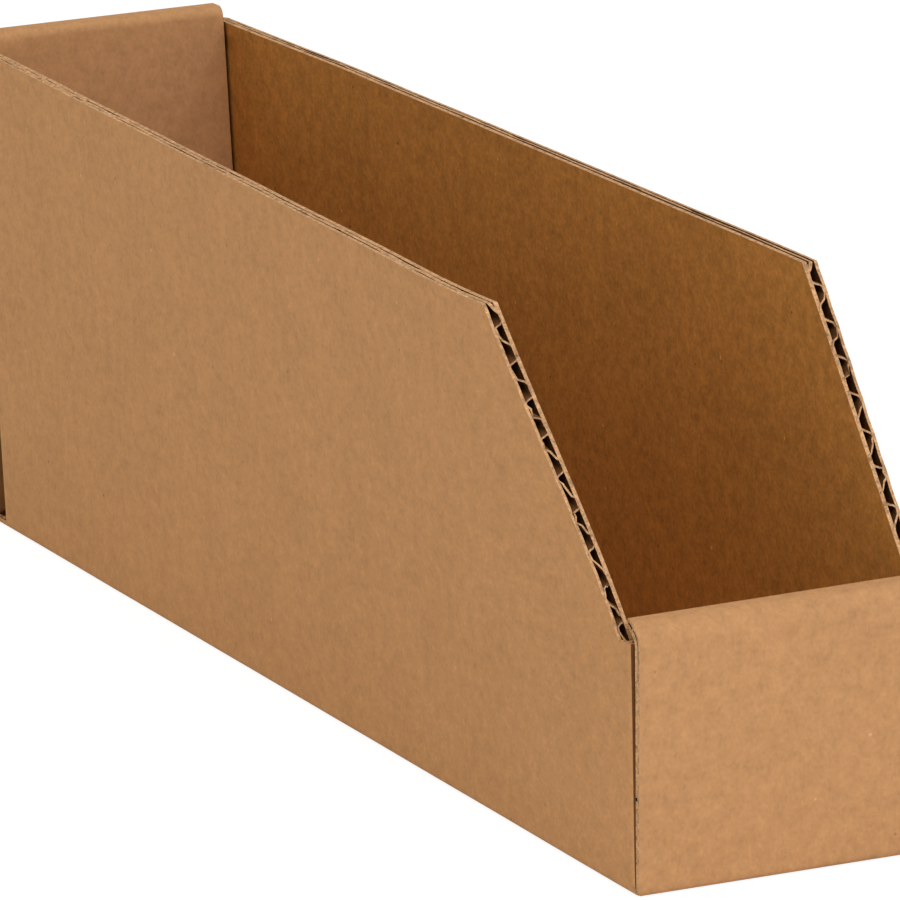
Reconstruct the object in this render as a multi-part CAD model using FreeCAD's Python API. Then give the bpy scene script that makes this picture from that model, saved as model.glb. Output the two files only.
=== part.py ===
import FreeCAD, Part
import math
import os

from FreeCAD import Placement, Rotation, Vector

# A shelf bin folded from one die-cut sheet of single-wall corrugated board.
# Lengths are in millimetres. X runs across the bin, Y from its low front to its high back and
# Z up. The origin is the middle of the underside.
#
# The flutes run along the bin, so the side folds lie along them and crush them flat, while the
# end folds cross them and each flute goes round the fold. The bottom turns up into a front and
# a back panel. Each of these rolls over a pair of corner flaps, comes down inside the bin and
# locks with a tab in a slot of the bottom.

# The bin
bin_length = 381.0  # from the front face to the back face
bin_width = 69.85  # over the side walls
side_height = 114.3  # to the level top edge of the side walls
front_height = 57.0  # to the crest of the front roll
slope_run = 60.0  # from the front face to the top of the side walls' slope

# The board
board = 3.1  # whole thickness
liner = 0.3
medium = 0.25  # the fluted paper between the liners
flute_pitch = 6.5
flute_flat = 1.2  # width of the glued crest of a flute
fold_radius = 0.4  # on the inside of a fold

# Flaps, tabs and clearances
layer_gap = 0.5  # between layers of board that lie side by side
roll_gap = 1.2  # from each end of a roll, and of the panel below it, to the side wall
flap_gap = 4.0  # between the free ends of a pair of corner flaps
tab_width = 24.0
tab_recess = 0.3  # the tab stops this far above the underside
slot_gap = 0.3  # round the tab

# Worked out from the sizes above
fold_outside = fold_radius + board
front_y = -bin_length / 2
half_width = bin_width / 2
roll_half_width = half_width - board - roll_gap
flap_face = board + layer_gap  # from an end face of the bin to its corner flaps
wall_end = flap_face + fold_outside  # from an end face to where a side wall's flat part stops
end_depth = 3 * board + 2 * layer_gap  # the three layers of each end
back_height = side_height + board + layer_gap
slope_foot = front_height - board - layer_gap
slope_rate = (side_height - slope_foot) / (slope_run - flap_face)
wall_phase = side_height - flute_pitch / 4  # the top edge cuts its flutes open along their length
X, Y, Z = Vector(1, 0, 0), Vector(0, 1, 0), Vector(0, 0, 1)


def flute_hole(centre, on_inside):
    """The hole of one flute, across the board along X and through its thickness up Z."""
    core = board - 2 * liner
    lean = math.atan2(core - medium, flute_pitch / 2 - flute_flat)
    shift = flute_flat / 2 - medium / 2 / math.sin(lean)
    tip = shift + medium / 2 / math.tan(lean)
    base = shift + (core - medium / 2) / math.tan(lean)
    if on_inside:
        base_at, tip_at = board - liner, liner + medium
    else:
        base_at, tip_at = liner, board - liner - medium
    corners = [(-base, base_at), (base, base_at), (tip, tip_at), (-tip, tip_at), (-base, base_at)]
    points = [Vector(centre + across, 0, depth) for across, depth in corners]
    return Part.Face(Part.makePolygon(points))


def flute_holes(start, stop, phase=0.0):
    """The holes of the flutes that lie whole between start and stop."""
    step = flute_pitch / 2
    reach = step - flute_flat / 2
    first = math.ceil((start + reach - phase) / step)
    last = math.floor((stop - reach - phase) / step)
    return [flute_hole(phase + n * step, n % 2 == 0) for n in range(first, last + 1)]


def section(start, stop, phase=0.0):
    """The board cut across its flutes, from start to stop along X and from its outside up Z."""
    sheet = Part.makePlane(stop - start, board, X * start, -Y, X)
    return sheet.cut(flute_holes(start - flute_pitch, stop + flute_pitch, phase)).Faces[0]


def laid(origin, travel, inside):
    """A place on the sheet, with Y along the board's travel and Z towards its inside."""
    return Placement(origin, Rotation(travel.cross(inside), travel, inside, "XYZ"))


def run(place, face, length):
    """A flat length of board, and the place where it ends."""
    piece = face.extrude(Y * length)
    piece.Placement = place
    return piece, place * Placement(Y * length, Rotation())


def fold(place, face, angle=90.0):
    """A fold towards the inside, and the place where it ends."""
    axis = Z * fold_outside
    piece = face.revolve(axis, X, angle)
    piece.Placement = place
    return piece, place * Placement(Vector(), Rotation(X, angle), axis)


def quarter(side, radius):
    """A quarter turn about the axis of a side fold."""
    centre = Vector(side * (half_width - fold_outside), 0, fold_outside)
    middle = (X * side - Z) * math.sqrt(0.5) * radius
    return Part.Arc(centre + X * side * radius, centre + middle, centre - Z * radius).toShape()


def trough_outline():
    """The bottom and both side walls across the bin."""
    flat = half_width - fold_outside
    inner = half_width - board
    edges = [
        Part.makeLine(Vector(-flat, 0, 0), Vector(flat, 0, 0)),
        Part.makeLine(Vector(-flat, 0, board), Vector(flat, 0, board)),
    ]
    for side in (-1, 1):
        outer_top = Vector(side * half_width, 0, side_height)
        inner_top = Vector(side * inner, 0, side_height)
        edges += [
            quarter(side, fold_outside),
            quarter(side, fold_radius),
            Part.makeLine(Vector(side * half_width, 0, fold_outside), outer_top),
            Part.makeLine(Vector(side * inner, 0, fold_outside), inner_top),
            Part.makeLine(outer_top, inner_top),
        ]
    return Part.Face(Part.Wire(Part.sortEdges(edges)[0]))


def trough():
    """The bottom and both side walls, with flutes along the bin and crushed side folds."""
    flat = half_width - fold_outside
    holes = flute_holes(-flat, flat)
    for hole in flute_holes(fold_outside, side_height + flute_pitch, wall_phase):
        hole.Placement = laid(-X * half_width, -Y, X)
        holes += [hole, hole.mirror(Vector(), X)]
    face = trough_outline().cut(holes).Faces[0]
    face.translate(Y * (front_y + wall_end))
    return face.extrude(Y * (bin_length - 2 * wall_end))


def corner_flap(root_top, top):
    """The flap that folds in from the front edge of the left side wall."""
    low = fold_outside + layer_gap
    place = laid(Vector(-half_width, front_y + wall_end, 0), -Y, X)
    corner, place = fold(place, section(low, root_top, wall_phase))
    reach = half_width - fold_outside - flap_gap / 2
    flap, place = run(place, section(low, top, wall_phase), reach)
    return [corner, flap]


def rolled_end(crest):
    """A front panel that turns up from the bottom, rolls over the flaps and locks inside."""
    full = section(-half_width, half_width)
    narrow = section(-roll_half_width, roll_half_width)
    tab = section(-tab_width / 2, tab_width / 2)
    place = laid(Vector(0, front_y + wall_end, 0), -Y, Z)
    steps = [
        (run, full, wall_end - fold_outside),
        (fold, full, 90.0),
        (run, full, crest - 2 * fold_outside),
        (fold, narrow, 90.0),
        (run, narrow, end_depth - 2 * fold_outside),
        (fold, narrow, 90.0),
        (run, narrow, crest - fold_outside - board - layer_gap),
        (run, tab, board + layer_gap - tab_recess),
    ]
    pieces = []
    for step, face, amount in steps:
        piece, place = step(place, face, amount)
        pieces.append(piece)
    return pieces


def slope_waste():
    """What the die cuts off above the slope of both side walls."""
    top = side_height + board
    foot_y = front_y + flap_face
    corners = [
        Vector(-bin_width, foot_y - board, slope_foot - board * slope_rate),
        Vector(-bin_width, foot_y + (top - slope_foot) / slope_rate, top),
        Vector(-bin_width, foot_y - board, top),
    ]
    return Part.Face(Part.makePolygon(corners + corners[:1])).extrude(X * 2 * bin_width)


def slot():
    """The slot in the bottom for the tab of the front panel."""
    length = tab_width + 2 * slot_gap
    width = board + 2 * slot_gap
    corner = Vector(-length / 2, front_y + end_depth - board - slot_gap, -board)
    return Part.makeBox(length, width, 3 * board, corner)


def both_sides(pieces):
    return pieces + [piece.mirror(Vector(), X) for piece in pieces]


def at_back(pieces):
    return [piece.mirror(Vector(), Y) for piece in pieces]


def folded_bin():
    wall_front_top = slope_foot + (wall_end - flap_face) * slope_rate
    walls = trough().fuse(both_sides(corner_flap(wall_front_top, slope_foot)))
    walls = walls.cut(slope_waste())
    walls = walls.cut([slot()] + at_back([slot()]))
    ends = rolled_end(front_height) + at_back(rolled_end(back_height))
    ends += both_sides(at_back(corner_flap(side_height, side_height)))
    return walls.fuse(ends).removeSplitter()


os.makedirs("parts", exist_ok=True)
blank = folded_bin()
print("solids", len(blank.Solids), "faces", len(blank.Faces), "valid", blank.isValid())
print("board volume", round(blank.Volume / 1000, 1), "cm3")
blank.Solids[0].exportStep("parts/folded_bin.step")
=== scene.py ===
# %% [markdown]
# # A corrugated bin box
#
# A shelf bin is one die-cut sheet of corrugated board. Board is three papers glued together: an
# outer liner, a medium pressed into flutes, and an inner liner. We make each paper as a flat blank
# first, as a die cuts it, then press the score lines and fold it up, as a packer does. That way the
# paper's grain runs on round every fold, and the open flutes show wherever the knife crossed them.
#
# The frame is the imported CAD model. It gives the box that the bin fills, in metres.

# %% The frame
import bmesh
import bpy
import math
from mathutils import Matrix, Vector


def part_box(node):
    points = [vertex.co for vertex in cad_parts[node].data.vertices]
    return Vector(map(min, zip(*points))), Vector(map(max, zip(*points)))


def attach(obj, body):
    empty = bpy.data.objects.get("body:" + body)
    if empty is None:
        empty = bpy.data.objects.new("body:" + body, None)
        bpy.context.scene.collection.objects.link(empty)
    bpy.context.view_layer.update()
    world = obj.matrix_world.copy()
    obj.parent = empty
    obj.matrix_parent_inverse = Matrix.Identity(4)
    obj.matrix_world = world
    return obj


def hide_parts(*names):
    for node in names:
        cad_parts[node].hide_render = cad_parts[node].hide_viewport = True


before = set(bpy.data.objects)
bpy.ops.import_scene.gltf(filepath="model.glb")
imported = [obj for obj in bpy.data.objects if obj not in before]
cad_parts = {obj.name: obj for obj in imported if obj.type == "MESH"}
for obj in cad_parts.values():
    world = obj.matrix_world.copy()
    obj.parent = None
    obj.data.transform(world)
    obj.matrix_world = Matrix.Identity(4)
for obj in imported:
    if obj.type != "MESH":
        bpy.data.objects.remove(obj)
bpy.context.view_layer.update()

low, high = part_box("folded_bin")
print("the bin fills", [round(side * 1000, 1) for side in high - low], "mm")

# %% [markdown]
# ## Camera and studio
#
# A long box keeps its edges nearly parallel through a long lens from far off. The camera stands to
# the left of the low front and looks slightly down. We turn two angles and a distance into its
# place, because they are easier to read than coordinates.

# %% Camera
mm = 0.001
aim = Vector((-9.1, -36.4, 60.2)) * mm
distance = 2.5
azimuth, elevation, roll = math.radians(-22.65), math.radians(13.5), math.radians(-2.54)

back = Vector((
    math.sin(azimuth) * math.cos(elevation),
    -math.cos(azimuth) * math.cos(elevation),
    math.sin(elevation),
))
level = Vector((math.cos(azimuth), math.sin(azimuth), 0))
across = level * math.cos(roll) + back.cross(level) * math.sin(roll)
facing = Matrix((across, back.cross(across), back)).transposed()
bpy.ops.object.camera_add(location=aim + back * distance, rotation=facing.to_euler())
camera = bpy.context.object
camera.name = "camera"
camera.data.sensor_width = 36
camera.data.lens = 458.7
camera.data.clip_end = 20
bpy.context.scene.camera = camera
print("camera at", [round(c, 3) for c in camera.location])

# %% [markdown]
# ## Helpers
#
# Everything below is done with the tools that you would use by hand. `work_on` makes one object the
# only one selected, `pick_faces` selects faces by where they lie, and `cut_lines` runs the Bisect
# tool over the picked faces, one straight line at a time.

# %% Helpers
speck = 0.01 * mm  # places nearer than this are the same


def work_on(thing):
    """Makes one object the only one selected, and the active one."""
    bpy.ops.object.select_all(action="DESELECT")
    thing.select_set(True)
    bpy.context.view_layer.objects.active = thing


def pick_faces(sheet, inside):
    """Selects the faces whose middle passes the test, in edit mode."""
    bpy.ops.mesh.select_all(action="DESELECT")
    mesh = bmesh.from_edit_mesh(sheet.data)
    for face in mesh.faces:
        face.select_set(inside(face.calc_center_median()))
    mesh.select_flush_mode()
    bmesh.update_edit_mesh(sheet.data)


def cut_lines(sheet, normal, places, inside=lambda middle: True):
    """Cuts the picked faces along lines square to the normal."""
    for place in places:
        pick_faces(sheet, inside)
        bpy.ops.mesh.bisect(plane_co=Vector(normal) * place, plane_no=normal, threshold=speck)


def apply_modifier(sheet, kind, **settings):
    """Adds a modifier with the settings given and applies it at once."""
    work_on(sheet)
    modifier = sheet.modifiers.new(kind, kind)
    for name, value in settings.items():
        setattr(modifier, name, value)
    bpy.ops.object.modifier_apply(modifier=modifier.name)


def spread(start, length, steps):
    """Evenly spaced places from start to start + length."""
    return [start + length * step / steps for step in range(steps + 1)]


# %% [markdown]
# ## The blank
#
# We lay the blank out flat with its outside down, centred on the bottom of the bin. X runs across
# the bin and Y along it, as the flutes do. Only the half with X above 0 is drawn, because the two
# halves are alike. A fold takes as much paper as its outside arc is long, so each panel starts
# where the arc before it ends.

# %% Sizes of the board and the bin
half_width = high.x
half_length = high.y
back_height = high.z
side_height = 114.3 * mm
front_height = 57.0 * mm
slope_run = 60.0 * mm

board = 3.1 * mm
liner = 0.3 * mm
medium = 0.25 * mm
flute = 6.82 * mm
layer_gap = 0.5 * mm
flap_gap = 4.0 * mm
tab_width = 24.0 * mm
tab_recess = 0.3 * mm
slot_gap = 0.3 * mm
end_depth = 3 * board + 2 * layer_gap
flap_face = board + 0.45 * mm  # from the outside of an end panel to the flap behind it
slot_near = half_length - end_depth  # the slot's edge nearer the middle of the bin

# %% Sizes of the folds
crushed = 1.2 * mm  # what a score leaves of the board
corner = 1.5 * mm  # outside radius of a scored fold
flap_corner = 1.2 * mm
roll_front = 5.0 * mm
fade = 2.2 * mm  # how far a score presses the board on each side of its fold


def arc(radius):
    """The paper that a right-angle fold takes on its outside."""
    return radius * math.pi / 2


side_fold = half_width - corner
panel_half = half_width - 0.45 * mm  # an end panel is cut a little narrower than the bin


def wall_x(height):
    """Where a point of the side wall lies on the flat blank."""
    return side_fold + arc(corner) + height - corner


flap_low = 3.4 * mm  # the flap's lower edge above the bottom of the bin
flap_corner_low = corner + 0.3 * mm  # the flap's fold starts lower than the flap
slit = 0.06 * mm  # the width of a knife's cut
slope_foot = front_height - 4.7 * mm
slope_start = 7.9 * mm  # from the front face to the foot of the slope's cut
slope_rate = (side_height - slope_foot) / (slope_run - slope_start)
flap_fold = half_length - flap_face - flap_corner
flap_start = flap_fold + arc(flap_corner)
flap_end = flap_start + half_width - flap_corner - flap_gap / 2
corner_end = half_length - 1.65 * mm - slit  # where a side fold stops
end_fold = half_length - corner
slant_run = 12 * mm  # the wall's rows turn to a slanted crease over this distance
twist_run = 5 * mm  # a flap twists upright within this distance of the wall's inside
twist_row = 8 * mm  # a row past the twist, so that the rest of the flap stays flat
foot_taper = 2 * mm  # the slant at the corner of an end panel's foot
roll_rise = 0.4 * mm  # a roll stands this much above its drawn height


class End:
    """The lines of one end panel, as distances from the middle of the blank.

    way is 1 at the back and -1 at the front, gap is from the inner layer to a side wall, and the
    panel narrows to that layer's width between shoulder and neck, measured from where it rolls.
    """

    def __init__(self, way, height, flap_top, lean, gap, roll_in, shoulder, neck):
        self.way = way
        self.lean = lean  # how much further out the flaps fold at their foot than at their top
        self.height = height
        self.flap_top = flap_top
        self.half = half_width - board - gap
        self.roll = end_fold + arc(corner) + height - corner - roll_front
        self.top = self.roll + arc(roll_front)
        self.roll_in = roll_in
        self.roll_down = self.top + end_depth - roll_front - roll_in
        self.inner = self.roll_down + arc(roll_in)
        self.shoulder = self.roll + shoulder
        self.neck = self.roll + neck
        self.foot = self.inner + height - roll_in - board - layer_gap
        self.tip = self.foot + board + layer_gap - tab_recess


front = End(
    way=-1, height=front_height + roll_rise, flap_top=slope_foot, lean=2.4 * mm, gap=0.05 * mm,
    roll_in=2.6 * mm, shoulder=5.6 * mm, neck=15.0 * mm,
)
rear = End(
    way=1, height=back_height + roll_rise, flap_top=side_height, lean=-4.2 * mm, gap=0.9 * mm,
    roll_in=2.2 * mm, shoulder=-1.0 * mm, neck=1.5 * mm,
)
print("blank", round((front.tip + rear.tip) / mm), "by", round(2 * wall_x(side_height) / mm), "mm")

# %% [markdown]
# ## Cutting a blank
#
# A die presses every knife and score line into the sheet at once. Here each line is a row of edges,
# cut with Bisect, and then the waste is picked by its place and deleted. Rows are only cut where a
# fold or a bend needs them, which keeps the mesh light.

# %% What is board and what is waste


def crease(end, x):
    """How far from the middle of the blank a corner flap folds, at a place across the blank."""
    return flap_fold + end.lean * (1 - (x - wall_x(0)) / end.flap_top)


def slant(end, x):
    """How far a corner flap's crease lies from its upright line, at a place across the blank."""
    return crease(end, min(x, wall_x(end.flap_top))) - flap_fold


def slope_at(y):
    """The height of the slope's cut at a place along the bin."""
    return slope_foot + slope_rate * (y + half_length - slope_start)


def on_slope(middle, below=0):
    """The part of the front of a side wall that the slope's cut crosses, and a strip below it."""
    in_run = slope_start < middle.y + half_length < slope_run
    return in_run and middle.x > wall_x(slope_foot - below)


rim = 2.5 * mm  # the strip along a wall's top edge where the knife left the papers loose
rim_step = 5 * mm  # between the rows across that strip
rim_rows = int((2 * half_length - slope_run) / rim_step)


def in_rim(middle):
    """The strip along the level top edge of a side wall."""
    return middle.x > wall_x(side_height) - rim and middle.y > slope_run - half_length


def on_shoulder(middle):
    """Where an end panel narrows to fit between the side walls."""
    end = front if middle.y < 0 else rear
    return end.shoulder < abs(middle.y) < end.neck and middle.x < panel_half


def on_foot(middle):
    """The corner of an end panel's foot, cut away at a slant."""
    outward = abs(middle.y) - corner_end
    return slit < outward < foot_taper and side_fold < middle.x < panel_half


def is_board(middle):
    """Whether a place on the blank is board and not waste: the slots, then the ends and walls."""
    x, y = middle.x, middle.y
    end = front if y < 0 else rear
    far = abs(y)
    height = x - wall_x(0)
    if x < tab_width / 2 + slot_gap and slot_near - slot_gap < far < slot_near + board + slot_gap:
        return False
    if far > end.foot:
        return far < end.tip and x < tab_width / 2
    if far > end.shoulder:
        narrowed = min(1, (far - end.shoulder) / (end.neck - end.shoulder))
        return x < panel_half - (panel_half - end.half) * narrowed
    if far > corner_end + slit and x < panel_half:
        tapered = min(1, (far - corner_end) / foot_taper)
        return x < side_fold + (panel_half - side_fold) * tapered
    if far > corner_end and x < wall_x(flap_low):
        return x < side_fold or (x > wall_x(flap_corner_low) and far < flap_start)
    if height > side_height:
        return False
    if far > flap_fold:
        if x < wall_x(flap_corner_low):
            return True
        if far > flap_start and x < wall_x(flap_low):
            return False
        if x < wall_x(flap_corner_low) + slit or far > flap_end or height > end.flap_top:
            return False
    if y < 0 and height > slope_foot:
        return height < slope_at(y)
    return True


# %% Lines to cut


def end_rows(end):
    """Rows across an end panel: round each fold, beside it and here and there between."""
    rows = [corner_end, corner_end + slit, end.shoulder, end.neck, end.foot, end.tip]
    rows += spread(end_fold, arc(corner), 5)
    rows += spread(end.roll, arc(roll_front), 9)
    rows += spread(end.roll_down, arc(end.roll_in), 7)
    for start in (end_fold + arc(corner), end.roll_down - fade, end.inner):
        rows += spread(start, fade, 4)
    rows += spread(end_fold + arc(corner) + fade, end.roll - end_fold - arc(corner) - fade, 4)
    rows += spread(end.inner + fade, end.foot - end.inner - fade, 4)
    return sorted(set(rows))


def cut_outline(sheet, columns):
    """Cuts the straight lines of the blank's outline and deletes the waste between them."""
    cut_lines(sheet, (1, 0, 0), columns)
    cut_lines(sheet, (0, 1, 0), spread(-flap_fold, 2 * flap_fold, 16))
    cut_lines(sheet, (0, -1, 0), [half_length - slope_run, half_length - slope_start])
    for end in (front, rear):
        way = (0, end.way, 0)
        cut_lines(sheet, way, [corner_end, corner_end + slit, flap_start, flap_end])
        middle_lines = [slot_near - slot_gap, slot_near + board + slot_gap]
        middle_lines += [corner_end + foot_taper, end.shoulder, end.neck, end.foot, end.tip]
        cut_lines(sheet, way, middle_lines, lambda middle: middle.x < half_width)
    slanted = lambda middle: on_slope(middle) or on_shoulder(middle) or on_foot(middle)
    pick_faces(sheet, lambda middle: not is_board(middle) and not slanted(middle))
    bpy.ops.mesh.delete(type="FACE")


slope_rows = (0, 0.5 * mm, 1.2 * mm, 2.6 * mm)  # the slope's cut, and rows beside it to tear


def cut_slants(sheet):
    """Cuts the slope, the shoulders and the feet of the end panels, and deletes their waste."""
    square = Vector((1, -slope_rate, 0)).normalized()
    start = Vector((wall_x(slope_foot), slope_start - half_length, 0))
    for offset in slope_rows:
        pick_faces(sheet, lambda middle: on_slope(middle, below=4 * mm))
        bpy.ops.mesh.bisect(plane_co=start - square * offset, plane_no=square, threshold=speck)
    for end in (front, rear):
        for inside, start, finish in (
            (on_shoulder, (panel_half, end.shoulder), (end.half, end.neck)),
            (on_foot, (side_fold, corner_end), (panel_half, corner_end + foot_taper)),
        ):
            pick_faces(sheet, lambda middle: inside(middle) and middle.y * end.way > 0)
            start = Vector((start[0], start[1] * end.way, 0))
            along = Vector((finish[0], finish[1] * end.way, 0)) - start
            square = Vector((along.y, -along.x, 0)).normalized()
            bpy.ops.mesh.bisect(plane_co=start, plane_no=square, threshold=speck)
    pick_faces(sheet, lambda middle: not is_board(middle))
    bpy.ops.mesh.delete(type="FACE")


def cut_bend_rows(sheet):
    """Cuts the rows that the rims and the folds bend along."""
    rim_lines = spread(slope_run - half_length, rim_rows * rim_step, rim_rows)
    cut_lines(sheet, (0, 1, 0), rim_lines, in_rim)
    for end in (front, rear):
        way = (0, end.way, 0)
        in_strip = lambda middle: middle.x < half_width and middle.y * end.way > corner_end
        in_wall = lambda middle: middle.x > side_fold and middle.y * end.way > 0
        in_flap = lambda middle: (
            middle.x > wall_x(flap_corner_low) and middle.y * end.way > flap_fold
        )
        cut_lines(sheet, way, end_rows(end), in_strip)
        cut_lines(sheet, way, spread(flap_fold, arc(flap_corner), 6), in_flap)
        cut_lines(sheet, way, spread(flap_start, fade, 2) + [flap_start + twist_row], in_flap)
        cut_lines(sheet, way, spread(flap_fold - fade, fade, 3), in_wall)


def slant_creases(sheet):
    """Moves the rows of each corner flap's fold on to the line that the crease follows."""
    for vertex in sheet.data.vertices:
        x, y = vertex.co.x, vertex.co.y
        if x > wall_x(flap_corner_low) + slit / 2:
            end = front if y < 0 else rear
            share = min(max(1 + (abs(y) - flap_fold) / slant_run, 0), 1)
            vertex.co.y += end.way * slant(end, x) * share


def die_cut(sheet, columns):
    """Makes a flat sheet the blank: its outline, its rows and its slanted creases."""
    work_on(sheet)
    bpy.ops.object.mode_set(mode="EDIT")
    bpy.ops.mesh.select_mode(type="FACE")
    cut_outline(sheet, columns)
    cut_slants(sheet)
    cut_bend_rows(sheet)
    bpy.ops.object.mode_set(mode="OBJECT")
    slant_creases(sheet)
    print(sheet.name, "blank has", len(sheet.data.polygons), "faces")


# %% [markdown]
# ## Pressing the scores
#
# A score is a blunt rule that squashes the board, so that it folds there and nowhere else. Each
# vertex gets a weight that says how much thickness it loses, and one Displace modifier presses the
# sheet down by it. The weight fades out on both sides of the fold.

# %% Score weights
roll_loss = 0.12  # shares of the board's thickness that each kind of bend takes
roll_down_loss = 0.32
flap_loss = 0.66
edge_loss = 0.62  # at an end panel's side edges: this much at the foot
edge_relief = 0.32  # and this much less of it at the roll


def pressed(distance, width):
    """1 inside a score that runs from 0 to width, fading to 0 on both sides."""
    out = max(-distance, distance - width, 0) / fade
    return max(0.0, 1 - out * out * (3 - 2 * out)) if out < 1 else 0.0


def loss(x, y):
    """The share of the board's thickness that the scores take at a place on the blank."""
    end = front if y < 0 else rear
    far = abs(y)
    deep = 1 - crushed / board
    found = [pressed(x - side_fold, arc(corner)) * deep if far < corner_end + slit / 2 else 0]
    if x < half_width + slit:
        found.append(pressed(far - end_fold, arc(corner)) * deep)
        found.append(pressed(far - end.roll, arc(roll_front)) * roll_loss)
        found.append(pressed(far - end.roll_down, arc(end.roll_in)) * roll_down_loss)
    if corner_end + slit / 2 < far < end.neck and x < half_width + speck:
        upward = min(max((far - end_fold) / (end.roll - end_fold), 0), 1)
        found.append(pressed(panel_half - x, 0) * (edge_loss - edge_relief * upward))
    if x > wall_x(flap_corner_low) - slit:
        found.append(pressed(far - crease(end, x), arc(flap_corner)) * flap_loss)
    return max(found)


def press_scores(sheet, rise):
    """Presses a sheet down at the scores. rise gives a vertex's share of the board's thickness."""
    scores = sheet.vertex_groups.new(name="scores")
    for vertex in sheet.data.vertices:
        weight = loss(vertex.co.x, vertex.co.y) * rise(vertex.co.z)
        if weight > 0:
            scores.add([vertex.index], weight, "REPLACE")
    apply_modifier(
        sheet, "DISPLACE", direction="Z", strength=-board, mid_level=0, vertex_group="scores"
    )


# %% [markdown]
# ## Folding
#
# The Simple Deform modifier bends part of a mesh round a line and carries the rest along straight,
# which is just what a fold does. Its origin is an empty that lies on the score: X points along the
# board's travel and Y to the inside of the fold. The outside of the board keeps its length.

# %% Fold tools
bpy.ops.object.empty_add()
hinge = bpy.context.object
hinge.name = "hinge"


def fold(sheet, group, place, travel, inside, radius):
    """Bends the group by a right angle and returns the place where the flat board goes on."""
    turned = Matrix((travel, inside, travel.cross(inside))).transposed().to_4x4()
    hinge.matrix_world = Matrix.Translation(place) @ turned
    bpy.context.view_layer.update()
    along = [travel.dot(vertex.co - place) for vertex in sheet.data.vertices]
    nearest, furthest = min(along), max(along)
    ends = [(reach - nearest) / (furthest - nearest) for reach in (0, arc(radius))]
    apply_modifier(
        sheet, "SIMPLE_DEFORM", deform_method="BEND", deform_axis="Z", angle=math.pi / 2,
        origin=hinge, vertex_group=group, limits=ends,
    )
    return place + (travel + inside) * radius, inside, -travel


def mark(sheet, name, inside):
    """A vertex group of all that moves at a fold."""
    group = sheet.vertex_groups.new(name=name)
    group.add([v.index for v in sheet.data.vertices if inside(v.co)], 1, "REPLACE")


def settle_flap(sheet, end):
    """Twists a folded flap upright, away from its slanted crease, so that it lies on its panel."""
    for vertex in sheet.data.vertices:
        x, y, z = vertex.co
        if y * end.way > 0 and x > wall_x(0) and z > board + slit:
            vertex.co.y -= slant(end, x) * end.way * min((z - board) / twist_run, 1)


def fold_up(sheet):
    """Folds the flat half: corner flaps, side wall, then both end panels."""
    up = Vector((0, 0, 1))
    in_strip = lambda co, end: co.x < half_width + speck and co.y * end.way > corner_end + slit / 2
    for end in (front, rear):
        tag = "front " if end is front else "rear "
        beyond = lambda co, start: in_strip(co, end) and co.y * end.way > start - speck
        mark(sheet, tag + "panel", lambda co: beyond(co, end_fold))
        mark(sheet, tag + "roll", lambda co: beyond(co, end.roll))
        mark(sheet, tag + "down", lambda co: beyond(co, end.roll_down))
        mark(sheet, tag + "flap", lambda co: (
            co.x > wall_x(flap_corner_low) + slit / 2
            and co.y * end.way > crease(end, co.x) - speck
        ))
    mark(sheet, "wall", lambda co: (
        co.x > side_fold - speck and not in_strip(co, front) and not in_strip(co, rear)
    ))
    for end, tag in ((front, "front "), (rear, "rear ")):
        start = Vector((wall_x(0), end.way * crease(end, wall_x(0)), 0))
        away = Vector((end.lean, end.way * end.flap_top, 0)).normalized()
        fold(sheet, tag + "flap", start, away, up, flap_corner)
        settle_flap(sheet, end)
    fold(sheet, "wall", Vector((side_fold, 0, 0)), Vector((1, 0, 0)), up, corner)
    for end, tag in ((front, "front "), (rear, "rear ")):
        away = Vector((0, end.way, 0))
        place, travel, inside = fold(sheet, tag + "panel", away * end_fold, away, up, corner)
        place += travel * (end.roll - end_fold - arc(corner))
        place, travel, inside = fold(sheet, tag + "roll", place, travel, inside, roll_front)
        place += travel * (end.roll_down - end.top)
        fold(sheet, tag + "down", place, travel, inside, end.roll_in)
    sheet.vertex_groups.clear()


# %% [markdown]
# ## The three papers
#
# The two liners are flat, and the medium between them runs in waves along the bin. All three could
# be one solid cut full of channels, but then no paper could lift, tear or show its own colour. So
# each is a sheet without thickness, cut by the same die. A liner has close columns of faces in the
# side wall, where the slope cuts it, and wide ones in the bottom.

# %% Flat sheets


def lay_map(sheet):
    """A UV map that is the blank itself, so that the paper's grain runs round the folds."""
    layer = sheet.data.uv_layers.active or sheet.data.uv_layers.new(name="blank")
    layer.name = "blank"
    for loop in sheet.data.loops:
        x, y, z = sheet.data.vertices[loop.vertex_index].co
        layer.data[loop.index].uv = 0.5 + x, 0.5 + y


longest = 2 * rear.tip
wall_start = wall_x(0) + corner + fade
wall_columns = round((wall_x(side_height) - wall_start) / flute * 4)
edge_columns = (0.8 * mm, 1.7 * mm)  # in from an end panel's side edges, to press them thinner

# Lines along the bin that both a liner and the medium need
shared_columns = [tab_width / 2, tab_width / 2 + slot_gap, front.half, rear.half, panel_half]
shared_columns += [wall_x(flap_corner_low), wall_x(flap_corner_low) + slit, wall_x(flap_low)]
shared_columns += [half_width, panel_half - edge_columns[0], wall_x(side_height) - rim]


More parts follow.
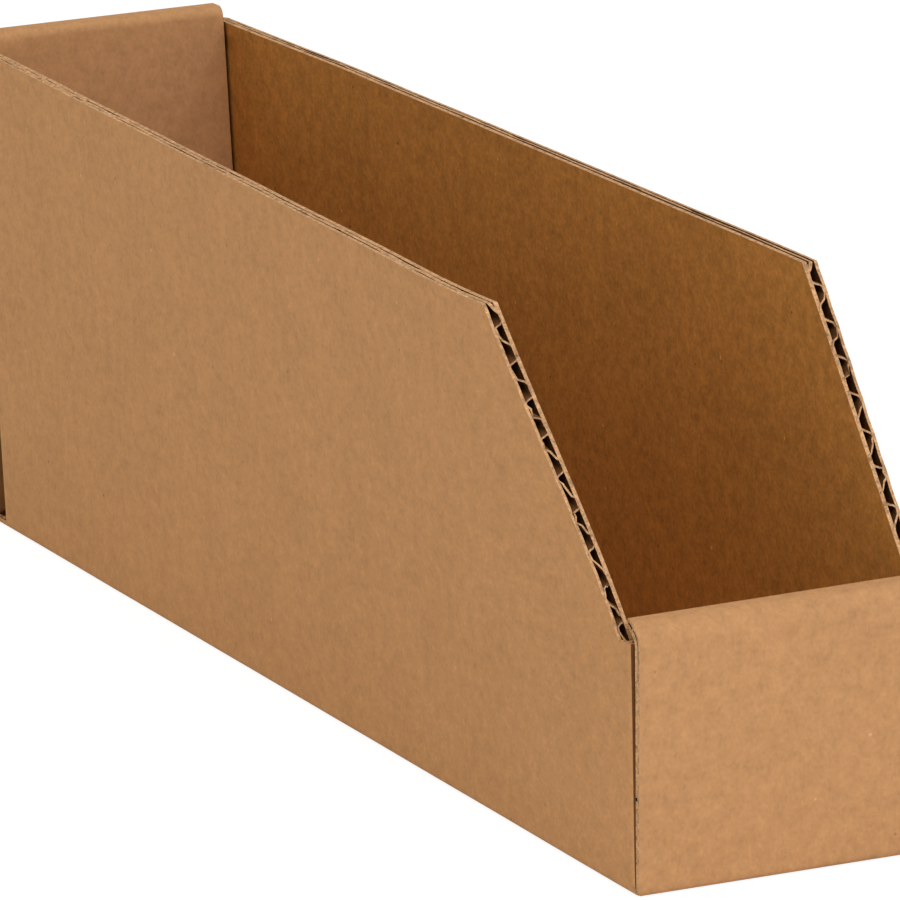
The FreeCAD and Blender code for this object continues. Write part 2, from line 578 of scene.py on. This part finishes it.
def flat_liner(name, depth):
    """A liner at its depth in the board: a grid for the wall, with one face for the bottom."""
    span = wall_x(side_height) - wall_start
    bpy.ops.mesh.primitive_grid_add(
        x_subdivisions=wall_columns, y_subdivisions=1, size=1,
        location=(wall_start + span / 2, 0, depth),
    )
    sheet = bpy.context.object
    sheet.name = name
    sheet.scale = (span, longest, 1)
    bpy.ops.object.transform_apply(location=True, rotation=True, scale=True)
    bpy.ops.object.mode_set(mode="EDIT")
    bpy.ops.mesh.select_mode(type="EDGE")
    bpy.ops.mesh.select_all(action="DESELECT")
    mesh = bmesh.from_edit_mesh(sheet.data)
    for edge in mesh.edges:
        edge.select_set(all(tip.co.x < wall_start + speck for tip in edge.verts))
    bmesh.update_edit_mesh(sheet.data)
    bpy.ops.mesh.extrude_region_move(TRANSFORM_OT_translate={"value": (-wall_start, 0, 0)})
    bpy.ops.object.mode_set(mode="OBJECT")
    columns = shared_columns + [panel_half - edge_columns[1]] + spread(0, rear.half, 5)[1:-1]
    columns += spread(side_fold - fade, fade, 3) + spread(side_fold, arc(corner), 6)
    columns += spread(side_fold + arc(corner), fade, 3)
    die_cut(sheet, sorted(columns))
    return sheet


outer_liner = flat_liner("outer_liner", 0)
inner_liner = flat_liner("inner_liner", board)

# %% The fluted medium
steps = 10  # columns of faces in one flute
swing = (board - 2 * liner - medium) / 2
blunt = 0.08  # how much flatter than a plain wave the crests are
lean_over = 0.45 * mm  # the flutes lean a little
flutes = math.ceil(wall_x(side_height) / flute)
bpy.ops.mesh.primitive_grid_add(
    x_subdivisions=steps, y_subdivisions=1, size=1, location=(flute / 2, 0, board / 2)
)
fluted = bpy.context.object
fluted.name = "fluted_medium"
fluted.scale = (flute, longest, 1)
bpy.ops.object.transform_apply(location=True, rotation=True, scale=True)
for vertex in fluted.data.vertices:
    turn = vertex.co.x / flute * 2 * math.pi
    wave = (math.cos(turn) - blunt * math.cos(3 * turn)) / (1 - blunt)
    vertex.co.z -= swing * wave
    vertex.co.x -= lean_over * (1 - wave)
apply_modifier(
    fluted, "ARRAY", count=flutes, relative_offset_displace=(1, 0, 0),
    use_merge_vertices=True, merge_threshold=speck,
)
die_cut(fluted, shared_columns + [side_fold, side_fold + arc(corner), wall_x(side_height)])

# %% [markdown]
# ## Loose edges
#
# A knife that crosses the flutes tears the papers a little. Near the top and the slope the medium
# has come off the liners here and there, and its crests push the outer liner out. Sculpting would
# do it by hand. Here a vertex group says how loose the paper is, and Displace with a cloud texture
# crumples it by that much, so every flute comes out different.

# %% How loose the papers are


def looseness(x, y):
    """1 on the top and sloping edges of a side wall and 0 further than the rim from them."""
    if x < wall_x(slope_foot) + speck or y < slope_start - half_length:
        return 0
    from_top = wall_x(side_height) - x
    from_slope = (slope_at(y) + wall_x(0) - x) / math.hypot(1, slope_rate) if y < 0 else from_top
    nearest = min(from_top, from_slope)
    return 1 - min(max(nearest, 0), rim) / rim


def displace(sheet, name, size, direction, strength, group):
    """Moves the vertices of a group along one axis by a cloud texture of the size given."""
    clouds = bpy.data.textures.get(name) or bpy.data.textures.new(name, "CLOUDS")
    clouds.noise_scale = size
    apply_modifier(
        sheet, "DISPLACE", texture=clouds, texture_coords="LOCAL", direction=direction,
        strength=strength, vertex_group=group,
    )


# %% Loosen the edges
flare = 0.15 * mm  # how far a crest pushes the outer liner out at its edge
for vertex in outer_liner.data.vertices:
    pushed = flare * looseness(vertex.co.x, vertex.co.y) ** 2
    vertex.co.z -= pushed * (1 + math.cos(2 * math.pi * vertex.co.x / flute)) / 2

top_looseness = 0.3  # the level top edge is less torn than the slope
loose = fluted.vertex_groups.new(name="loose")
for vertex in fluted.data.vertices:
    weight = looseness(vertex.co.x, vertex.co.y)
    if weight:
        at_top = wall_x(side_height) - vertex.co.x < rim
        loose.add([vertex.index], weight * (top_looseness if at_top else 1), "REPLACE")
displace(fluted, "crumple", 1.6 * mm, "X", 2.0 * mm, "loose")
displace(fluted, "crumple", 1.6 * mm, "Z", 1.8 * mm, "loose")

# %% Uneven flutes
calm = 4 * mm  # clear of the folds the flutes' spacing starts to drift within this distance
uneven = fluted.vertex_groups.new(name="uneven")
for vertex in fluted.data.vertices:
    clear = min(vertex.co.x - wall_x(2 * calm), flap_fold - calm - abs(vertex.co.y))
    if clear > 0:
        uneven.add([vertex.index], min(1, clear / calm), "REPLACE")
displace(fluted, "drift", 14 * mm, "X", 0.35 * mm, "uneven")

# %% Flutes at the cut edges
lowest = liner + medium / 2
recess = 0.15 * mm  # the medium stops this far behind the liners at an end panel's side edges
top_crush = 0.6  # the share of their height that the flutes lose at the level top edge
for vertex in fluted.data.vertices:
    if abs(vertex.co.y) > corner_end + slit / 2 and abs(vertex.co.x - panel_half) < speck:
        vertex.co.x -= recess
    from_top = wall_x(side_height) - vertex.co.x
    if from_top < rim:
        vertex.co.z += (board / 2 - vertex.co.z) * top_crush * (1 - from_top / rim)
    vertex.co.z = min(max(vertex.co.z, lowest), board - lowest)
fluted.vertex_groups.clear()
print(fluted.name, "is loose", round(rim / mm, 1), "mm in from the cut")

# %% [markdown]
# ## From blank to bin
#
# Now the three sheets are packed as one board would be: pressed at the scores, folded, and mirrored
# to get the other half. The outer liner lies on the anvil and isn't pressed. The map is laid while
# the sheet is still flat. Folding the finished bin as one mesh would squeeze its thin papers, so
# each sheet is folded by itself, on the same hinges.

# %% Press, fold and mirror
press_scores(inner_liner, lambda z: 1)
press_scores(fluted, lambda z: (z - lowest) / (board - 2 * lowest))
for sheet in (outer_liner, inner_liner, fluted):
    lay_map(sheet)
    fold_up(sheet)
    apply_modifier(
        sheet, "MIRROR", use_mirror_u=True, use_clip=True, merge_threshold=0.005 * mm
    )
    print(sheet.name, "has", len(sheet.data.polygons), "faces")

# %% [markdown]
# ## The set of the folded board
#
# Nothing made of board stands quite straight. The side walls are held at the front and the back
# and spread apart between, the left one most, and the back end is drawn in. A lattice round the
# three papers moves them together, as one hand would push them. Moving vertices by hand would pull
# the papers apart, and a lattice needs only a few points.

# %% Spread the walls
bpy.ops.object.add(type="LATTICE", location=(0, 0, high.z / 2))
cage = bpy.context.object
cage.name = "cage"
cage.scale = (2 * half_width, 2 * half_length, high.z)
cage.data.points_u, cage.data.points_v, cage.data.points_w = 2, 7, 3
cage.data.interpolation_type_u = "KEY_LINEAR"
cage.data.interpolation_type_v = "KEY_CARDINAL"
cage.data.interpolation_type_w = "KEY_CARDINAL"
bpy.context.view_layer.update()


# How far the bin is out of true, in mm: at the sides, then at the ends
right_spread, right_closed, right_bow = 1.9, 1.2, 0.5
right_front, right_back = 0.9, -1.2
left_spread, left_closed, left_lean = 3.9, 0.8, 2.7
left_front, left_back = -1.2, 2.7
back_out, back_in, back_sag = 1.6, -1.0, -0.5
right_corner_along, right_corner_up = (-0.6, -2.2), (0.7, -0.5)  # lower and upper half
left_corner_along, left_corner_up = 1.2, 0.3


def sideways(side, along, height):
    """How far out of true a point of the cage is, with along and height from 0 to 1."""
    held = min(along * 6, 1)  # the front holds the walls over the first sixth of the length
    free = max((along * 6 - 1) / 5, 0)
    if side > 0:
        opened = right_spread * held * (1 - free) - right_closed * free
        opened += right_bow * math.sin(math.pi * free)
        return right_front * (1 - along) + right_back * along + opened * height
    opened = left_spread * held * (1 - free) - left_closed * free
    leaning = left_lean * (1 - held) * min(1, 2 * height)
    return leaning + left_front * (1 - along) + left_back * along - opened * height


def endways(side, along, height):
    """How far a point of the cage is moved along the bin and up."""
    lower, upper = min(1, 2 * height), max(0, 2 * height - 1)
    held = min(along * 6, 1)
    if along > 0.9:
        return back_out * height + back_in * (1 - height), back_sag * (side + 0.5) * height
    if along < 0.1 and side > 0:
        return [
            low_part * lower + high_part * upper
            for low_part, high_part in (right_corner_along, right_corner_up)
        ]
    if along < 0.2 and side < 0:
        return left_corner_along * held * height, left_corner_up * held * height
    return 0, 0


for point in cage.data.points:
    side, along, height = point.co.x, point.co.y + 0.5, point.co.z + 0.5
    shift = (sideways(side, along, height), *endways(side, along, height))
    for axis in range(3):
        point.co_deform[axis] += shift[axis] * mm / cage.scale[axis]
for sheet in (outer_liner, inner_liner, fluted):
    apply_modifier(sheet, "LATTICE", object=cage)
bpy.data.objects.remove(cage)
print("the right and the left wall open by", right_spread, "and", left_spread, "mm")

# %% [markdown]
# ## Paper
#
# Kraft paper is brown wood fibre. Its colour comes in layers: short fibres that all lie roughly one
# way, soft clouds where the pulp was thicker, and a few dark and light specks. The faces' patterns
# lie on the blank's own map, so they run round the folds. The inner liner is a darker paper, made
# darker and more saturated still as painted shade for the inside of the bin. The medium's dark
# brown is partly its own colour and partly painted shade for the flute pockets and the seams. A cut
# edge is paler and rougher than either face, because the knife tears the fibres, and its finer
# pattern lies on Object coordinates, because the map is the same all the way through an edge.

# %% Paper materials


def add(tree, kind, **sockets):
    """A node whose input sockets are set or linked: n0 is the first one, From_Min the named one."""
    node = tree.nodes.new("ShaderNode" + kind)
    for name, value in sockets.items():
        numbered = name[1:].isdigit()
        socket = node.inputs[int(name[1:]) if numbered else name.replace("_", " ")]
        if isinstance(value, bpy.types.NodeSocket):
            tree.links.new(value, socket)
        else:
            socket.default_value = value
    return node


def calculate(tree, operation, *values):
    """The output of a Math node."""
    node = add(tree, "Math", **{"n%d" % index: value for index, value in enumerate(values)})
    node.operation = operation
    return node.outputs[0]


def noise(tree, place, size, detail=2.0, roughness=0.5):
    """Noise from 0 to 1 whose patches are about the size given."""
    found = add(tree, "TexNoise", Vector=place, Scale=1 / size, Detail=detail, Roughness=roughness)
    return found.outputs["Fac"]


def specks(tree, place, spacing, size):
    """1 in small scattered spots and 0 between them."""
    cells = add(tree, "TexVoronoi", Vector=place, Scale=1 / spacing)
    edge = size / spacing
    spots = add(
        tree, "MapRange", Value=cells.outputs["Distance"], From_Min=edge, From_Max=edge * 0.6
    )
    chosen = calculate(tree, "GREATER_THAN", cells.outputs["Color"], 0.55)
    return calculate(tree, "MULTIPLY", spots.outputs[0], chosen)


fibre_size, cloud_size, drift_size = 0.9 * mm, 3.0 * mm, 22 * mm
fibre_share, cloud_share, drift_share = 0.65, 1.35, 0.4
speck_strength = 0.7  # against the contrast of the rest
rough_low, rough_high = 0.72, 0.88
sheen = 0.08  # bare paper hardly shines


def paper_tone(tree, place, fibre, cloud, contrast, coarse):
    """The paper's mottling, as a factor round 1: fibres, clouds, drifts and specks."""
    drift = noise(tree, place, drift_size * coarse, 3, 0.6)
    tone = calculate(tree, "MULTIPLY", calculate(tree, "SUBTRACT", fibre, 0.5), fibre_share)
    for part, share in ((cloud, cloud_share), (drift, drift_share)):
        centred = calculate(tree, "SUBTRACT", part, 0.5)
        tone = calculate(tree, "MULTIPLY_ADD", centred, share, tone)
    tone = calculate(tree, "MULTIPLY_ADD", tone, contrast, 1.0)
    moved = add(tree, "Mapping", Vector=place, Location=(0.21, 0.37, 0)).outputs[0]
    depth = contrast * speck_strength
    dark = calculate(tree, "MULTIPLY", specks(tree, place, 7 * mm, 0.45 * mm), depth)
    pale = calculate(tree, "MULTIPLY", specks(tree, moved, 9 * mm, 0.5 * mm), depth)
    return calculate(tree, "SUBTRACT", calculate(tree, "ADD", tone, pale), dark)


def paper(name, color, contrast, bump, washboard=0, coarse=1):
    """Kraft paper: color in linear light, contrast of its mottling and depth of its relief.

    washboard is the depth of the ribs that the flutes press through a liner. With coarse below 1
    the pattern is that much finer and lies on Object coordinates, as a cut edge needs.
    """
    material = bpy.data.materials.new(name)
    material.use_nodes = True
    tree = material.node_tree
    shader = tree.nodes["Principled BSDF"]
    blank = tree.nodes.new("ShaderNodeUVMap")
    blank.uv_map = "blank"
    place = blank.outputs[0]
    if coarse < 1:
        place = add(tree, "TexCoord").outputs["Object"]
    along = add(tree, "Mapping", Vector=place, Scale=(1, 0.75, 1)).outputs[0]
    fibre = noise(tree, along, fibre_size * coarse, 2, 0.6)
    cloud = noise(tree, along, cloud_size * coarse, 4, 0.75)
    tone = paper_tone(tree, place, fibre, cloud, contrast, coarse)
    paint = add(tree, "VectorMath", n0=color, n1=tone)
    paint.operation = "MULTIPLY"
    tree.links.new(paint.outputs[0], shader.inputs["Base Color"])

    rough = add(tree, "MapRange", Value=cloud, To_Min=rough_low, To_Max=rough_high)
    tree.links.new(rough.outputs[0], shader.inputs["Roughness"])
    shader.inputs["Specular IOR Level"].default_value = sheen

    relief = calculate(tree, "MULTIPLY_ADD", cloud, 1.6, fibre)
    surface = add(tree, "Bump", Height=relief, Distance=bump, Strength=0.6)
    if washboard:
        waves = add(tree, "TexWave", Vector=place, Scale=math.pi / 10 / flute)
        waves.wave_profile = "SIN"
        ribs = add(tree, "Bump", Height=waves.outputs["Fac"], Distance=washboard, Strength=1.0)
        tree.links.new(surface.outputs[0], ribs.inputs["Normal"])
        surface = ribs
    tree.links.new(surface.outputs[0], shader.inputs["Normal"])
    return material


# %% The four papers
rib = 0.012 * mm
kraft = paper("kraft_liner", (0.507, 0.257, 0.103), 0.47, 0.03 * mm, rib)
# the inner liner's colour is partly its own darker paper and partly painted shade for the inside
kraft_inside_and_painted_shade = paper("kraft_liner_inside_and_painted_shade", (0.468, 0.203, 0.045), 0.85, 0.03 * mm, rib)
# the medium's dark brown is partly its own colour and partly painted shade for the flute pockets
medium_and_painted_shade = paper("fluting_medium_and_painted_shade", (0.135, 0.054, 0.017), 0.5, 0.03 * mm)
cut_edge = paper("cut_edge", (0.52, 0.287, 0.13), 1.9, 0.08 * mm, coarse=0.35)
print("papers:", ", ".join(made.name for made in (kraft, kraft_inside_and_painted_shade, medium_and_painted_shade, cut_edge)))

# %% [markdown]
# ## Thickness
#
# The papers are still sheets without thickness. Solidify gives them their thickness and closes
# their edges. Its vertex group makes a sheet thicker where it was cut, because torn fibres swell,
# and its rim takes the second material. The third one is the medium's dark brown used as painted
# shade: it goes on each liner's glued inner side and on faces in creases and gaps where shade
# falls.

# %% Marking the cuts
work_on(outer_liner)
bpy.ops.object.mode_set(mode="EDIT")
bpy.ops.mesh.select_all(action="SELECT")
bpy.ops.mesh.flip_normals()
bpy.ops.object.mode_set(mode="OBJECT")


swollen_top = 2 * mm  # strips where the torn edges are swollen in full
swollen_end = 6 * mm
cut_run = 1 * mm  # the swelling is halved on vertices this near to a cut


def mark_cut(sheet, share):
    """A vertex group that is 1 on the top and end edges, share on other cuts and less behind."""
    cut = sheet.vertex_groups.new(name="cut")
    mesh = bmesh.new()
    mesh.from_mesh(sheet.data)
    for vertex in mesh.verts:
        at_top = vertex.co.z > side_height - swollen_top
        at_end = abs(vertex.co.y) > half_length - swollen_end
        weight = 1 if at_top or at_end else share
        if vertex.is_boundary:
            cut.add([vertex.index], weight, "REPLACE")
            continue
        near = [
            edge.calc_length() for edge in vertex.link_edges
            if edge.other_vert(vertex).is_boundary
        ]
        if near and min(near) < cut_run:
            cut.add([vertex.index], weight / 2, "REPLACE")
    mesh.free()


shade_strip = 2.5 * mm  # painted shade covers the inner liner this far in from the back panel's side edges


def is_painted_shade(sheet, x, y):
    """Where a liner gets dark brown painted shade: on the outer one just past a flap's crease, in
    the seam beside it, and on the inner one along the side edges of the back panel, by its gap."""
    if sheet == outer_liner:
        beyond = (abs(y) - crease(front if y < 0 else rear, x)) / arc(flap_corner)
        return x > wall_x(flap_corner_low) and 0.55 < beyond < 3
    return panel_half - shade_strip < x < panel_half and corner_end < y < rear.roll


def paint_shade_faces(sheet):
    """Paints shade in dark brown on a liner's faces in creases and gaps, with its third material.
    """
    spots = sheet.data.uv_layers["blank"].data
    for face in sheet.data.polygons:
        corners = [spots[loop].uv for loop in face.loop_indices]
        middle = sum(corners, Vector((0, 0))) / face.loop_total
        if is_painted_shade(sheet, abs(middle.x - 0.5), middle.y - 0.5):
            face.material_index = 2


# %% Thickness
for sheet, thickness, swollen, share, offset, face in (
    (outer_liner, liner, 0.75 * mm, 0.8, -1, kraft),
    (inner_liner, liner, 1.05 * mm, 0.8, -1, kraft_inside_and_painted_shade),
    (fluted, medium, 0.8 * mm, 0.3, 0, medium_and_painted_shade),
):
    mark_cut(sheet, share)
    for material in (face, cut_edge, medium_and_painted_shade):
        sheet.data.materials.append(material)
    if sheet != fluted:
        paint_shade_faces(sheet)
    # material_offset puts the dark brown painted shade on each liner's glued inner side
    apply_modifier(
        sheet, "SOLIDIFY", thickness=swollen, offset=offset, vertex_group="cut",
        thickness_vertex_group=thickness / swollen, material_offset=2, material_offset_rim=1,
    )

# %% [markdown]
# ## One piece
#
# The real bin is one sheet, so the three papers are joined into one object. It follows the CAD
# model's body and stands in for its folded sheet. Shading is smooth round the folds and the flutes,
# and stays sharp at the cut edges.

# %% One piece
bpy.ops.object.select_all(action="DESELECT")
for sheet in (outer_liner, inner_liner, fluted):
    sheet.select_set(True)
bpy.context.view_layer.objects.active = outer_liner
bpy.ops.object.join()
bin_box = bpy.context.object
bin_box.name = "corrugated_bin"
bpy.ops.object.shade_smooth_by_angle(angle=math.radians(35))
triangles = sum(len(face.vertices) - 2 for face in bin_box.data.polygons)
print("triangles", triangles)
bpy.data.objects.remove(hinge)
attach(bin_box, "root")
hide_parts("folded_bin")

# %% [markdown]
# ## Floor and light
#
# Board looks its plainest on a white sweep in a bright room, with three soft lamps in front and
# above that give the rolls their highlight. The floor and the room are white only to the rays that
# look at them, straight or in a reflection. So they make a white background without more light on
# the board, and the floor keeps a little of its own colour to carry the bin's shadow.

# %% Floor


def looked_at(tree):
    """1 for rays from the camera and for reflected and refracted ones, 0 for light that spreads."""
    ray = add(tree, "LightPath")
    seen, mirrored = ray.outputs["Is Camera Ray"], ray.outputs["Is Glossy Ray"]
    straight = calculate(tree, "MAXIMUM", seen, mirrored)
    return calculate(tree, "MAXIMUM", straight, ray.outputs["Is Transmission Ray"])


floor_drop = 0.2 * mm  # just below the bin, so that the two never share a plane
floor_glow = 0.85  # the share of what the camera sees of the floor that is plain white
bpy.ops.mesh.primitive_plane_add(size=8, location=(0, 0, -floor_drop))
floor = bpy.context.object
floor.name = "floor"
floor_paint = bpy.data.materials.new("floor_paint")
floor_paint.use_nodes = True
floor_tree = floor_paint.node_tree
paint = floor_tree.nodes["Principled BSDF"]
paint.inputs["Base Color"].default_value = (0.95, 0.95, 0.95, 1)
paint.inputs["Roughness"].default_value = 0.9
share = calculate(floor_tree, "MULTIPLY", looked_at(floor_tree), floor_glow)
white = add(floor_tree, "Emission", Color=(1, 1, 1, 1), Strength=1.08)
mixed = add(floor_tree, "MixShader", Fac=share, n1=paint.outputs[0], n2=white.outputs[0])
floor_tree.links.new(mixed.outputs[0], floor_tree.nodes["Material Output"].inputs["Surface"])
floor.data.materials.append(floor_paint)

# %% Room
room = bpy.data.worlds.new("room")
bpy.context.scene.world = room
room.use_nodes = True
room_tree = room.node_tree
fill = 0.65  # how brightly the room lights the board
strength = calculate(room_tree, "MULTIPLY_ADD", looked_at(room_tree), 1 - fill, fill)
room_tree.links.new(strength, room_tree.nodes["Background"].inputs["Strength"])
room_tree.nodes["Background"].inputs["Color"].default_value = (1, 1, 1, 1)

# %% Lamps


lamp_distance = 2.4


def lamp(name, toward, size, energy, tint):
    """A square lamp that stands off in the direction given and faces the bin."""
    toward = Vector(toward).normalized()
    bpy.ops.object.light_add(type="AREA", location=toward * lamp_distance)
    light = bpy.context.object
    light.name = name
    light.data.size = size
    light.data.energy = energy
    light.data.color = tint
    light.rotation_euler = toward.to_track_quat("Z", "Y").to_euler()
    print(name, "of", energy, "W")


lamp("key_lamp", (0.40, -0.55, 0.73), 0.5, 6, (0.94, 1.04, 1.4))
lamp("front_lamp", (0.0, -0.70, 0.71), 0.8, 12, (0.96, 1.04, 1.4))
lamp("left_lamp", (-0.42, -0.42, 0.80), 0.8, 8, (1.02, 0.96, 0.7))
bpy.context.scene.view_settings.view_transform = "Standard"
